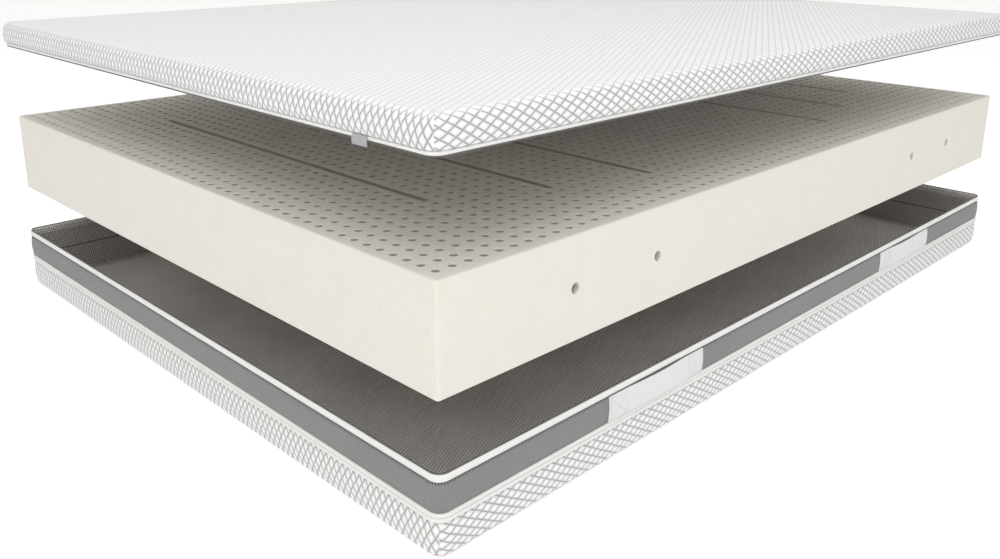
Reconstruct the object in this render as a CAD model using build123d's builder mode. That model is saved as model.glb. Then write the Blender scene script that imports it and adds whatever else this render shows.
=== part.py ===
from build123d import *
import os

# Zip-off mattress shown in three levels: an open fabric tray below, a zoned
# foam core floating above it, and the padded cover top above the core.
# Origin: centre of the tray's underside. X across the bed, Y along it, Z up.

os.makedirs("parts", exist_ok=True)

# The core: one moulded block
CORE_WIDTH = 1500.0
CORE_LENGTH = 2000.0
CORE_HEIGHT = 175.0
CORE_CORNER = 6.0
CORE_EDGE = 2.5
CORE_BOTTOM = 242.0

# Cross slots mark off the zones: (distance from the middle, length), on both halves
SLOTS = ((345.0, 1230.0), (555.0, 1110.0), (765.0, 930.0))
SLOT_WIDTH = 12.0
SLOT_DEPTH = 45.0

# Blind bores in pairs on both long sides
BORE_RADIUS = 9.0
BORE_DEPTH = 60.0
BORE_PLACES = (-720.0, -510.0, 510.0, 720.0)

# The cover: its walls stand outside the core by this much
WALL = 8.0
COVER_WIDTH = CORE_WIDTH + 2 * WALL
COVER_LENGTH = CORE_LENGTH + 2 * WALL

# Layers of the cover wall as (inset from the cover's outer face, corner radius)
FACE = (0.0, 20.0)
KNIT_BACK = (2.0, 18.0)
STRIP_BACK = (3.5, 16.5)
LINING_BACK = (6.5, 7.0)
LINING_FACE = (7.5, 6.0)
BINDING_FACE = (7.6, 5.9)
PIPING_FACE = (-2.5, 22.5)
COIL_FACE = (0.6, 19.4)
COIL_BACK = (3.4, 16.6)
TAPE_INNER = (27.5, 5.0)
LID_FACE = (-4.0, 24.0)
LID_KNIT_BACK = (-2.0, 22.0)

# Heights in the tray wall
FLOOR_KNIT = 2.0
FLOOR_WADDING = 5.0
FLOOR_TOP = 6.0
TAPE_TOP = 6.4
LOWER_BORDER_TOP = 58.0
PIPING_HEIGHT = 7.5
MESH_BOTTOM = LOWER_BORDER_TOP + 2 * PIPING_HEIGHT
MESH_TOP = 121.0
BAND_TOP = 133.5
COIL_HEIGHT = 2.5
BACKING_TOP = 131.0
BINDING_BOTTOM = 117.0
BASE_ROUNDING = 9.5
PIPING_ROUNDING = 2.4
BAND_ROUNDING = 1.2

# Heights in the cover top, from its lowest line (the upper zip coil)
LID_BOTTOM = 582.0
LID_BAND_BOTTOM = LID_BOTTOM + COIL_HEIGHT
LID_PAD_BOTTOM = LID_BOTTOM + 5.0
LID_BAND_TOP = LID_BOTTOM + 8.5
LID_HEM_TOP = LID_BOTTOM + 12.0
LID_CEILING = LID_BOTTOM + 44.3
LID_LINING_TOP = LID_BOTTOM + 45.3
LID_WADDING_TOP = LID_BOTTOM + 54.8
LID_TOP = LID_BOTTOM + 56.8
LID_ROUNDING = 22.0
LID_WADDING_ROUNDING = 20.0
LID_HEM_ROUNDING = 3.9

# Strap handles on the long sides
HANDLE_CENTRES = (-505.0, 505.0)
PATCH_LENGTH = 50.0
GRIP_LENGTH = 170.0
STRAP_BOTTOM = 74.0
STRAP_HEIGHT = 46.5
STRAP_THICKNESS = 3.0
GRIP_STANDOFF = 2.0
GRIP_GAP = 0.4
STRAP_EDGE = 0.8

# Side label
LABEL_X = 608.0
LABEL_WIDTH = 34.0
LABEL_THICKNESS = 1.2
LABEL_STANDOFF = 0.4
LABEL_TOP = LID_BAND_TOP
LABEL_HEAD_BOTTOM = LID_BAND_TOP - 2.0
LABEL_BOTTOM = LID_BOTTOM - 7.0

# Zip slider, parked near a corner of the far short side
SLIDER_X = -700.0
SLIDER_LENGTH = 12.0
SLIDER_MIDDLE = 137.0
SLIDER_OUTER_Y = COVER_LENGTH / 2 + 0.5
SLIDER_INNER_Y = COVER_LENGTH / 2 - 3.8
PLATE_THICKNESS = 1.4
PLATE_CORNER = 3.0
OUTER_PLATE_HEIGHT = 15.0
INNER_PLATE_HEIGHT = 11.2
NECK_HEIGHT = 1.0
NECK_LENGTH = 8.0
LOOP_WIDTH = 2.4
LOOP_REACH = 3.7
LOOP_HEIGHT = 9.0
LOOP_WINDOW_DEPTH = 2.6
LOOP_WINDOW_HEIGHT = 5.0

# Pull tab hung on the slider's loop
PIVOT_Y = SLIDER_OUTER_Y + PLATE_THICKNESS + 1.3
PIVOT_Z = SLIDER_MIDDLE + 2.0
BAR_RADIUS = 0.7
TAB_WIDTH = 8.0
TAB_WINDOW_WIDTH = 4.4
TAB_WINDOW_DROP = 8.0
TAB_DROP = 27.0
TAB_THICKNESS = 1.4
TAB_CORNER = 1.5


def outline(layer, mode=Mode.ADD):
    """The cover's rounded outline at one layer of its wall."""
    inset, radius = layer
    RectangleRounded(COVER_WIDTH - 2 * inset, COVER_LENGTH - 2 * inset, radius, mode=mode)


def strip(bottom, top, outer, inner, rounding=0.0):
    """A closed strip sewn round the cover, its outer edges rounded."""
    with BuildPart() as piece:
        with BuildSketch(Plane.XY.offset(bottom)):
            outline(outer)
        extrude(amount=top - bottom)
        if rounding:
            fillet(piece.edges().filter_by(Plane.XY), rounding)
        with BuildSketch(Plane.XY.offset(bottom)):
            outline(inner)
        extrude(amount=top - bottom, mode=Mode.SUBTRACT)
    return piece


# Each side of the border as its wedge of the plan, cut at 45 degrees at the corners
SIDE_NAMES = ("front", "right", "back", "left")
WEDGE_OUT = 10.0
WEDGE_IN = 100.0


def wedge_corners(name):
    """The four plan corners of one side's wedge."""
    near, far = COVER_WIDTH / 2 + WEDGE_OUT, COVER_LENGTH / 2 + WEDGE_OUT
    deep_x, deep_y = COVER_WIDTH / 2 - WEDGE_IN, COVER_LENGTH / 2 - WEDGE_IN
    if name in ("front", "back"):
        sign = -1 if name == "front" else 1
        return (-near, sign * far), (near, sign * far), (deep_x, sign * deep_y), (-deep_x, sign * deep_y)
    sign = 1 if name == "right" else -1
    return (sign * near, -far), (sign * near, far), (sign * deep_x, deep_y), (sign * deep_x, -deep_y)


def border_side(whole, name, bottom, top):
    """One side of a closed strip between two heights, mitred at its corners."""
    with BuildPart() as piece:
        add(whole.part)
        with BuildSketch(Plane.XY.offset(bottom)):
            with BuildLine():
                Polyline(*wedge_corners(name), close=True)
            make_face()
        extrude(amount=top - bottom, mode=Mode.INTERSECT)
    return piece


def finish(piece, name):
    """Label a finished piece and write its file."""
    piece.part.label = name
    export_step(piece.part, f"parts/{name}.step")


# --- cover base -----------------------------------------------------------------

# The space inside the base's knit
with BuildPart() as base_fill:
    with BuildSketch(Plane.XY.offset(FLOOR_KNIT)):
        outline(KNIT_BACK)
    extrude(amount=LOWER_BORDER_TOP - FLOOR_KNIT)
    fillet(base_fill.edges().group_by(Axis.Z)[0], BASE_ROUNDING - FLOOR_KNIT)

# Knit fabric: underside and turned-up border, soft at the lower edge
with BuildPart() as base_knit:
    with BuildSketch():
        outline(FACE)
    extrude(amount=LOWER_BORDER_TOP)
    fillet(base_knit.edges().group_by(Axis.Z)[0], BASE_ROUNDING)
    add(base_fill.part, mode=Mode.SUBTRACT)

# Its underside panel, and four side panels seamed at the corners
with BuildPart() as base_underside:
    add(base_knit.part)
    with BuildSketch():
        outline(FACE)
    extrude(amount=FLOOR_TOP, mode=Mode.INTERSECT)
finish(base_underside, "base_underside")

for side_name in SIDE_NAMES:
    finish(border_side(base_knit, side_name, FLOOR_TOP, LOWER_BORDER_TOP), f"base_border_{side_name}")

# Wadding quilted behind the knit
with BuildPart() as base_wadding:
    add(base_fill.part)
    with BuildSketch(Plane.XY.offset(FLOOR_WADDING)):
        outline(LINING_BACK)
    extrude(amount=LOWER_BORDER_TOP - FLOOR_WADDING, mode=Mode.SUBTRACT)
finish(base_wadding, "base_wadding")

# Floor lining: one flat sheet
with BuildPart() as floor_lining:
    with BuildSketch(Plane.XY.offset(FLOOR_WADDING)):
        outline(LINING_BACK)
    extrude(amount=FLOOR_TOP - FLOOR_WADDING)
finish(floor_lining, "floor_lining")

# Strips of the border, from the inside out and from the floor up
floor_seam_tape = strip(FLOOR_TOP, TAPE_TOP, LINING_FACE, TAPE_INNER)
finish(floor_seam_tape, "floor_seam_tape")

wall_lining = strip(FLOOR_TOP, BINDING_BOTTOM, LINING_BACK, LINING_FACE)
finish(wall_lining, "wall_lining")

inner_binding = strip(BINDING_BOTTOM, BACKING_TOP, LINING_BACK, BINDING_FACE)
finish(inner_binding, "inner_binding")

# Stiffening pads behind the mesh, one to a side
border_pads = strip(LOWER_BORDER_TOP, BACKING_TOP, STRIP_BACK, LINING_BACK)
for side_name in SIDE_NAMES:
    finish(border_side(border_pads, side_name, LOWER_BORDER_TOP, BACKING_TOP), f"border_pad_{side_name}")

piping_lower = strip(
    LOWER_BORDER_TOP, LOWER_BORDER_TOP + PIPING_HEIGHT, PIPING_FACE, STRIP_BACK, PIPING_ROUNDING
)
finish(piping_lower, "piping_lower")

piping_upper = strip(
    LOWER_BORDER_TOP + PIPING_HEIGHT, MESH_BOTTOM, PIPING_FACE, STRIP_BACK, PIPING_ROUNDING
)
finish(piping_upper, "piping_upper")

border_mesh = strip(MESH_BOTTOM, MESH_TOP, FACE, STRIP_BACK)
finish(border_mesh, "border_mesh")

zip_band_lower = strip(MESH_TOP, BAND_TOP, FACE, STRIP_BACK, BAND_ROUNDING)
finish(zip_band_lower, "zip_band_lower")

zip_coil_lower = strip(BAND_TOP, BAND_TOP + COIL_HEIGHT, COIL_FACE, COIL_BACK)
finish(zip_coil_lower, "zip_coil_lower")


# --- strap handles --------------------------------------------------------------


def strap_piece(side, centre, length, standoff):
    """A flat length of strap against the long side, its edges eased."""
    middle_x = side * (COVER_WIDTH / 2 + standoff + STRAP_THICKNESS / 2)
    with BuildPart() as piece:
        with BuildSketch(Plane.XY.offset(STRAP_BOTTOM)):
            with Locations((middle_x, centre)):
                Rectangle(STRAP_THICKNESS, length)
        extrude(amount=STRAP_HEIGHT)
        fillet(piece.faces().sort_by(Axis.X)[-1 if side > 0 else 0].edges(), STRAP_EDGE)
    return piece


handle_number = 0
for side in (1, -1):
    for centre in HANDLE_CENTRES:
        handle_number += 1
        reach = (GRIP_LENGTH + PATCH_LENGTH) / 2
        finish(strap_piece(side, centre - reach, PATCH_LENGTH, 0.0), f"handle_{handle_number}_patch_a")
        finish(strap_piece(side, centre + reach, PATCH_LENGTH, 0.0), f"handle_{handle_number}_patch_b")
        grip_length = GRIP_LENGTH - 2 * GRIP_GAP
        finish(strap_piece(side, centre, grip_length, GRIP_STANDOFF), f"handle_{handle_number}_grip")


# --- core -----------------------------------------------------------------------

core_top = CORE_BOTTOM + CORE_HEIGHT
with BuildPart() as core_block:
    with BuildSketch(Plane.XY.offset(CORE_BOTTOM)):
        RectangleRounded(CORE_WIDTH, CORE_LENGTH, CORE_CORNER)
    extrude(amount=CORE_HEIGHT)
    fillet(core_block.edges().filter_by(Plane.XY), CORE_EDGE)
    # cross slots, rounded at their ends
    with BuildSketch(Plane.XY.offset(core_top)):
        for place, length in SLOTS:
            with Locations((0, place), (0, -place)):
                SlotOverall(length, SLOT_WIDTH)
    extrude(amount=-SLOT_DEPTH, mode=Mode.SUBTRACT)
    # side bores at half height
    for side in (1, -1):
        face = Plane(
            origin=(side * CORE_WIDTH / 2, 0, CORE_BOTTOM + CORE_HEIGHT / 2),
            x_dir=(0, 1, 0),
            z_dir=(side, 0, 0),
        )
        with BuildSketch(face):
            with Locations(*[(y, 0) for y in BORE_PLACES]):
                Circle(BORE_RADIUS)
        extrude(amount=-BORE_DEPTH, mode=Mode.SUBTRACT)
finish(core_block, "core_block")


# --- cover top ------------------------------------------------------------------

# Upper zip coil and the white band above it
zip_coil_upper = strip(LID_BOTTOM, LID_BAND_BOTTOM, COIL_FACE, COIL_BACK)
finish(zip_coil_upper, "zip_coil_upper")

zip_band_upper = strip(LID_BAND_BOTTOM, LID_BAND_TOP, FACE, STRIP_BACK, BAND_ROUNDING)
finish(zip_band_upper, "zip_band_upper")

# The space inside the knit top, down to the zip
with BuildPart() as lid_fill:
    with BuildSketch(Plane.XY.offset(LID_HEM_TOP)):
        outline(LID_KNIT_BACK)
    extrude(amount=LID_WADDING_TOP - LID_HEM_TOP)
    fillet(lid_fill.edges().group_by(Axis.Z)[-1], LID_WADDING_ROUNDING)
    with BuildSketch(Plane.XY.offset(LID_PAD_BOTTOM)):
        outline(STRIP_BACK)
    extrude(amount=LID_HEM_TOP - LID_PAD_BOTTOM)

# Knit top: swells out above the band, large soft top edge
with BuildPart() as lid_fabric:
    with BuildSketch(Plane.XY.offset(LID_BAND_TOP)):
        outline(LID_FACE)
    extrude(amount=LID_TOP - LID_BAND_TOP)
    fillet(lid_fabric.edges().group_by(Axis.Z)[-1], LID_ROUNDING)
    fillet(lid_fabric.edges().group_by(Axis.Z)[0], LID_HEM_ROUNDING)
    add(lid_fill.part, mode=Mode.SUBTRACT)
finish(lid_fabric, "lid_fabric")

# Wadding under the knit, down to the zip
with BuildPart() as lid_wadding:
    add(lid_fill.part)
    with BuildSketch(Plane.XY.offset(LID_PAD_BOTTOM)):
        outline(LINING_BACK)
    extrude(amount=LID_LINING_TOP - LID_PAD_BOTTOM, mode=Mode.SUBTRACT)
finish(lid_wadding, "lid_wadding")

# Lining, open below
with BuildPart() as lid_lining:
    with BuildSketch(Plane.XY.offset(LID_PAD_BOTTOM)):
        outline(LINING_BACK)
    extrude(amount=LID_LINING_TOP - LID_PAD_BOTTOM)
    with BuildSketch(Plane.XY.offset(LID_PAD_BOTTOM)):
        outline(LINING_FACE)
    extrude(amount=LID_CEILING - LID_PAD_BOTTOM, mode=Mode.SUBTRACT)
finish(lid_lining, "lid_lining")

# Woven label: sewn in above the band, hangs past it
label_face = Plane(
    origin=(LABEL_X + LABEL_WIDTH / 2, -COVER_LENGTH / 2, 0), x_dir=(0, -1, 0), z_dir=(-1, 0, 0)
)
with BuildPart() as side_label:
    with BuildSketch(label_face):
        with BuildLine():
            Polyline(
                (0, LABEL_HEAD_BOTTOM),
                (LABEL_STANDOFF, LABEL_HEAD_BOTTOM),
                (LABEL_STANDOFF, LABEL_BOTTOM),
                (LABEL_STANDOFF + LABEL_THICKNESS, LABEL_BOTTOM),
                (LABEL_STANDOFF + LABEL_THICKNESS, LABEL_TOP),
                (0, LABEL_TOP),
                close=True,
            )
        make_face()
    extrude(amount=LABEL_WIDTH)
finish(side_label, "side_label")


# --- zip slider and pull --------------------------------------------------------

# Two plates joined by a neck that runs between the coils, and a loop outside
with BuildPart() as zip_slider:
    with BuildSketch(Plane.XY.offset(SLIDER_MIDDLE - OUTER_PLATE_HEIGHT / 2)):
        with Locations((SLIDER_X, SLIDER_OUTER_Y + PLATE_THICKNESS / 2)):
            Rectangle(SLIDER_LENGTH, PLATE_THICKNESS)
    extrude(amount=OUTER_PLATE_HEIGHT)
    outer_plate_edges = zip_slider.edges().filter_by(Axis.Y)
    fillet(outer_plate_edges, PLATE_CORNER)
    with BuildSketch(Plane.XY.offset(SLIDER_MIDDLE - INNER_PLATE_HEIGHT / 2)):
        with Locations((SLIDER_X, SLIDER_INNER_Y - PLATE_THICKNESS / 2)):
            Rectangle(SLIDER_LENGTH, PLATE_THICKNESS)
    extrude(amount=INNER_PLATE_HEIGHT)
    with BuildSketch(Plane.XY.offset(SLIDER_MIDDLE - NECK_HEIGHT / 2)):
        with Locations((SLIDER_X, (SLIDER_OUTER_Y + SLIDER_INNER_Y) / 2)):
            Rectangle(NECK_LENGTH, SLIDER_OUTER_Y - SLIDER_INNER_Y)
    extrude(amount=NECK_HEIGHT)
    loop_y = SLIDER_OUTER_Y + PLATE_THICKNESS
    with BuildSketch(Plane.XY.offset(PIVOT_Z - LOOP_HEIGHT / 2)):
        with Locations((SLIDER_X, loop_y + LOOP_REACH / 2)):
            Rectangle(LOOP_WIDTH, LOOP_REACH)
    extrude(amount=LOOP_HEIGHT)
    with BuildSketch(Plane.XY.offset(PIVOT_Z - LOOP_WINDOW_HEIGHT / 2)):
        with Locations((SLIDER_X, loop_y + LOOP_WINDOW_DEPTH / 2)):
            Rectangle(LOOP_WIDTH, LOOP_WINDOW_DEPTH)
    extrude(amount=LOOP_WINDOW_HEIGHT, mode=Mode.SUBTRACT)
finish(zip_slider, "zip_slider")

# Pull tab: a plate with a window, its top bar round and free to turn in the loop
with BuildPart() as zip_pull:
    tab_face = Plane(
        origin=(SLIDER_X, PIVOT_Y + TAB_THICKNESS / 2, PIVOT_Z), x_dir=(-1, 0, 0), z_dir=(0, 1, 0)
    )
    with BuildSketch(tab_face):
        with Locations((0, -TAB_DROP / 2)):
            RectangleRounded(TAB_WIDTH, TAB_DROP, TAB_CORNER)
        with Locations((0, -TAB_WINDOW_DROP / 2)):
            Rectangle(TAB_WINDOW_WIDTH, TAB_WINDOW_DROP, mode=Mode.SUBTRACT)
    extrude(amount=-TAB_THICKNESS)
    with BuildSketch(Plane(origin=(SLIDER_X - TAB_WIDTH / 2, PIVOT_Y, PIVOT_Z), z_dir=(1, 0, 0))):
        Circle(BAR_RADIUS)
    extrude(amount=TAB_WIDTH)
finish(zip_pull, "zip_pull")
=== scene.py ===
# %% [markdown]
# # A zip-off mattress, shown taken apart
#
# The mattress comes apart in three levels. The lowest is an open fabric tray with a mesh
# border and strap handles. Above it floats a moulded foam core full of blind pin holes.
# The highest is the padded cover that zips on to the tray.
#
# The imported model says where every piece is, so this lesson only reads places from it and
# builds the soft surfaces around them. All lengths are in metres.

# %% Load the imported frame
import math

import bmesh
import bpy
from mathutils import Euler, Matrix, Vector, noise


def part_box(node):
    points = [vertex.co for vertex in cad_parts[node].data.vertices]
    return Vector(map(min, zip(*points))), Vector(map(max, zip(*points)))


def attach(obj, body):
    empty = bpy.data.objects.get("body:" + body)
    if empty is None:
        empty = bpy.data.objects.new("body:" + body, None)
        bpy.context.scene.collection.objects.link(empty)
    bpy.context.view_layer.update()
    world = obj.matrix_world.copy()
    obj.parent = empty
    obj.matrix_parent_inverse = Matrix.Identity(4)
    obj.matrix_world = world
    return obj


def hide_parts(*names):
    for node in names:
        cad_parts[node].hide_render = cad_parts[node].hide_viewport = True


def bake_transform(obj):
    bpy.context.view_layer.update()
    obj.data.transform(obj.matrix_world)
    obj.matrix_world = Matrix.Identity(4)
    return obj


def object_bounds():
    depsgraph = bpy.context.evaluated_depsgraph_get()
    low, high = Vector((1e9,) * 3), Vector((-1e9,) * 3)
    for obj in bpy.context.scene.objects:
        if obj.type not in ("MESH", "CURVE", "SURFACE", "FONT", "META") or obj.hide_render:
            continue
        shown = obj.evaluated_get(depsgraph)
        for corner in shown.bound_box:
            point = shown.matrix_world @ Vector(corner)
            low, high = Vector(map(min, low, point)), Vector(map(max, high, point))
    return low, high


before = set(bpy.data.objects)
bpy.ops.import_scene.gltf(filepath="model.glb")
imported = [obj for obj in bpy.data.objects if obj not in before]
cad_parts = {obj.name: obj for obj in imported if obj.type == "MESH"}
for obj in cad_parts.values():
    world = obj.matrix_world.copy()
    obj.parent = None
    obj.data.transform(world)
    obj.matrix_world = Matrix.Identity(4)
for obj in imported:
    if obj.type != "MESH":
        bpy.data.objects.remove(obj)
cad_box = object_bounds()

MM = 0.001
print("whole object, lowest and highest corner:", cad_box)

# %% [markdown]
# ## The viewpoint
#
# One corner of the bed points at the viewer, so a long side runs off to the right and a
# short side to the left. The camera stands a little above the top level and looks down,
# far enough for the tray's inside to show. Its lens is shifted downwards by a tenth of the
# frame, and it leans by a third of a degree.

# %% Camera
CAMERA_PLACE = Vector((1.630, -1.7623, 0.8682))
CAMERA_YAW = math.radians(45.06)
CAMERA_PITCH = math.radians(15.45)
CAMERA_ROLL = math.radians(0.33)
CAMERA_LENS = 34.42
CAMERA_SHIFT = -0.0947

camera_data = bpy.data.cameras.new("view")
camera_data.lens = CAMERA_LENS
camera_data.shift_y = CAMERA_SHIFT
camera = bpy.data.objects.new("view", camera_data)
bpy.context.scene.collection.objects.link(camera)
turn = Euler((math.pi / 2 - CAMERA_PITCH, 0, CAMERA_YAW)).to_matrix()
turn = turn @ Matrix.Rotation(CAMERA_ROLL, 3, "Z")
camera.matrix_world = Matrix.Translation(CAMERA_PLACE) @ turn.to_4x4()
bpy.context.scene.camera = camera
print("camera at", tuple(round(c, 3) for c in CAMERA_PLACE))

# %% [markdown]
# ## Light
#
# White cloth on a white ground needs a big soft source, or it turns grey and spotty. A
# bright even sky does most of the work. A large panel high behind the viewer reaches in
# under the raised cover top and lights the front of the core and of the tray. A weaker one
# on the right separates the long side from the short side.

# %% Sky and panels
scene = bpy.context.scene
scene.view_settings.view_transform = "Standard"
world = bpy.data.worlds.new("studio")
world.use_nodes = True
sky = world.node_tree.nodes["Background"]
sky.inputs["Color"].default_value = (1.0, 0.995, 0.985, 1.0)
sky.inputs["Strength"].default_value = 0.72
scene.world = world


def panel(name, place, target, size, power, colour):
    """A soft square light that faces a target."""
    data = bpy.data.lights.new(name, "AREA")
    data.shape = "SQUARE"
    data.size = size
    data.energy = power
    data.color = colour
    lamp = bpy.data.objects.new(name, data)
    lamp.location = place
    lamp.rotation_euler = (Vector(target) - Vector(place)).to_track_quat("-Z", "Y").to_euler()
    scene.collection.objects.link(lamp)


panel("key", (4.2, -0.6, 2.0), (0, 0, 0.2), 3.0, 8, (0.97, 0.98, 1.0))
panel("front", (2.5, -2.9, 3.3), (0, 0, 0.3), 2.6, 60, (1.0, 0.99, 0.975))
panel("top", (0.4, -0.6, 4.5), (0, 0, 0.3), 3.5, 48, (1.0, 1.0, 1.0))
print("lights:", len(bpy.data.lights))

# %% [markdown]
# ## Shader arithmetic
#
# A weave is mostly arithmetic: how far a thread is from its neighbour, and what lies on
# top. Wrapping a socket in a small class lets that arithmetic be written as arithmetic,
# and each operation adds its own node.


# %% A socket with arithmetic
class Value:
    """One socket of a finish, with arithmetic."""

    def __init__(self, finish, socket):
        self.finish = finish
        self.socket = socket

    def maths(self, operation, *terms):
        return self.finish.node("ShaderNodeMath", {"operation": operation}, dict(enumerate(terms)))

    def __add__(self, other):
        return self.maths("ADD", self, other)

    __radd__ = __add__

    def __sub__(self, other):
        return self.maths("SUBTRACT", self, other)

    def __rsub__(self, other):
        return self.maths("SUBTRACT", other, self)

    def __mul__(self, other):
        return self.maths("MULTIPLY", self, other)

    __rmul__ = __mul__

    def __truediv__(self, other):
        return self.maths("DIVIDE", self, other)

    def __rtruediv__(self, other):
        return self.maths("DIVIDE", other, self)

    def sine(self):
        return self.maths("SINE", self)

    def highest(self, other):
        return self.maths("MAXIMUM", self, other)

    def zigzag(self):
        """The distance to the nearest whole number."""
        return self.maths("PINGPONG", self, 0.5)


TURN = 2 * math.pi
print("arithmetic ready")

# %% [markdown]
# ## A finish
#
# Each material is one Principled surface and the nodes that feed it. Every node that is not
# arithmetic comes from `Finish.node`, which makes its settings before it fills its sockets,
# because some settings change which sockets there are.


# %% A material and its nodes
class Finish:
    """A material: a Principled surface and the nodes that feed it."""

    def __init__(self, name, **surface):
        self.material = bpy.data.materials.new(name)
        self.material.use_nodes = True
        self.tree = self.material.node_tree
        self.surface = self.tree.nodes["Principled BSDF"]
        for socket, value in surface.items():
            self.surface.inputs[socket.replace("_", " ").title()].default_value = value

    def node(self, kind, settings=None, sockets=None, out=0):
        """Add a node: its settings first, then the values or links of its sockets."""
        made = self.tree.nodes.new(kind)
        for name, value in (settings or {}).items():
            setattr(made, name, value)
        for name, value in (sockets or {}).items():
            self.plug(made.inputs[name], value)
        return Value(self, made.outputs[out])

    def plug(self, socket, value):
        """Link a value to a socket, or set the socket."""
        if isinstance(value, Value):
            self.tree.links.new(value.socket, socket)
        else:
            socket.default_value = value

    def cloth_place(self):
        """The cloth's own coordinates, across and along, in metres."""
        return self.node("ShaderNodeUVMap", {"uv_map": "cloth"})

    def object_place(self):
        """The object's own coordinates."""
        return self.node("ShaderNodeTexCoord", out=3)

    def axes(self, place):
        """The three numbers of a place."""
        split = self.node("ShaderNodeSeparateXYZ", sockets={0: place}).socket.node
        return [Value(self, split.outputs[axis]) for axis in range(3)]

    def cloud(self, place, scale, detail=2.0):
        """Soft random variation from 0 to 1."""
        sockets = {"Vector": place, "Scale": scale, "Detail": detail}
        return self.node("ShaderNodeTexNoise", sockets=sockets)

    def step(self, value, low, high):
        """A smooth step from 0 at low to 1 at high."""
        settings = {"interpolation_type": "SMOOTHSTEP"}
        return self.node("ShaderNodeMapRange", settings, {0: value, 1: low, 2: high})

    def blend(self, share, first, second):
        """A colour between two colours."""
        sockets = {0: share, 6: first, 7: second}
        return self.node("ShaderNodeMix", {"data_type": "RGBA"}, sockets, out=2)

    def relief(self, height, depth):
        """Raise the surface by a height, in metres at 1."""
        sockets = {"Height": height, "Distance": depth, "Strength": 1.0}
        self.plug(self.surface.inputs["Normal"], self.node("ShaderNodeBump", sockets=sockets))

    def colour(self, value):
        """Give the surface its colour."""
        self.plug(self.surface.inputs["Base Color"], value)


print("finishes ready")

# %% [markdown]
# ## The knit with its diagonal lattice
#
# The cover's cloth is a thick white double knit. Grey yarn crosses it in two directions
# and leaves diamonds 14.4 mm wide and 24.7 mm long, which swell a little between the
# yarns. The two directions are just `across + along` and `across - along`, so a diamond
# lattice is two zigzags. It follows the cloth's own coordinates, because real cloth
# carries its pattern round an edge. Over the flat top the grey yarn is drawn paler. On the
# sides each diamond puffs out, and its shading is painted in: a painted highlight in its
# middle and painted shade where it dips to the yarn.

# %% Lattice knit
DIAMOND_WIDTH = 14.4 * MM
DIAMOND_LENGTH = 24.7 * MM
STITCH_PITCH = 1.7 * MM
YARN_SOFT = 0.030
YARN_WIDE = 0.158
YARN_WANDER = 0.12
TOP_YARN_FADE = 0.55
KNIT_DEPTH = 1.1 * MM


def lattice_knit():
    """White double knit with its grey lattice."""
    finish = Finish("lattice_knit", roughness=0.88, sheen_weight=0.25, sheen_roughness=0.5)
    place = finish.cloth_place()
    across, along = finish.axes(place)[:2]
    height = finish.axes(finish.object_place())[2]
    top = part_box("lid_fabric")[1].z
    top_share = finish.step(height, top - 10 * MM, top - 0.5 * MM)
    wander = (finish.cloud(place, 45.0) - 0.5) * YARN_WANDER
    rising = across / DIAMOND_WIDTH + along / DIAMOND_LENGTH + wander
    falling = across / DIAMOND_WIDTH - along / DIAMOND_LENGTH + wander
    first = 1 - finish.step(rising.zigzag(), YARN_SOFT, YARN_WIDE)
    second = 1 - finish.step(falling.zigzag(), YARN_SOFT, YARN_WIDE)
    yarn = first.highest(second)
    swell = rising.zigzag() * falling.zigzag() * 4.0
    knit = (across * (TURN / STITCH_PITCH)).sine() * (along * (TURN / STITCH_PITCH)).sine()
    fibre = finish.cloud(place, 900.0, 3.0)
    knots = finish.cloud(place, 260.0)
    # Painted highlight in each diamond's middle and painted shade where it dips to the yarn, on
    # the sides only.
    painted_puff_shade = (swell * 0.8 - 0.42) * (1 - top_share)
    share = fibre * 0.4 + knots * 0.4 + painted_puff_shade + 0.22
    white = finish.blend(share, (0.66, 0.66, 0.665, 1), (0.92, 0.92, 0.915, 1))
    grey = finish.blend(fibre, (0.31, 0.305, 0.30, 1), (0.41, 0.405, 0.40, 1))
    # Over the flat top the grey yarn is drawn paler.
    finish.colour(finish.blend(yarn * (1.0 - top_share * TOP_YARN_FADE), white, grey))
    finish.relief(swell + knit * 0.10 + fibre * 0.08 - yarn * 0.25, KNIT_DEPTH)
    return finish.material


KNIT = lattice_knit()
print("made", KNIT.name)

# %% [markdown]
# ## White bands and piping
#
# The zip tapes, the piping and the handle straps are plain woven tape. A fine twill is a
# set of slanting ribs under a millimetre apart. Seen from a bed's distance it is only a
# soft white, but it has to be there when someone looks closely.


# %% Woven tape
def woven_tape(name, light, dark, rib, slant):
    """A tape with slanting ribs, a rib's width apart."""
    finish = Finish(name, roughness=0.8, sheen_weight=0.2, sheen_roughness=0.4)
    place = finish.cloth_place()
    across, along = finish.axes(place)[:2]
    ribs = ((across + along * slant) * (TURN / rib)).sine()
    fibre = finish.cloud(place, 700.0, 3.0)
    stain = finish.cloud(place, 14.0)
    share = ribs * 0.18 + fibre * 0.5 + stain * 0.35
    finish.colour(finish.blend(share, dark, light))
    finish.relief(ribs * 0.5 + fibre * 0.4, 0.25 * MM)
    return finish.material


BAND = woven_tape("white_band", (0.91, 0.91, 0.90, 1), (0.80, 0.80, 0.79, 1), 0.9 * MM, 0.6)
STRAP = woven_tape("strap_cloth", (0.80, 0.80, 0.80, 1), (0.66, 0.66, 0.66, 1), 1.4 * MM, 0.0)
LABEL = woven_tape("label_cloth", (0.62, 0.60, 0.64, 1), (0.47, 0.45, 0.49, 1), 0.5 * MM, 2.0)
LABEL.node_tree.nodes["Principled BSDF"].inputs["Roughness"].default_value = 0.35
THREAD = woven_tape("thread", (0.58, 0.58, 0.58, 1), (0.44, 0.44, 0.44, 1), 0.4 * MM, 1.0)
print("tapes:", BAND.name, STRAP.name, LABEL.name, THREAD.name)
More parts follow.
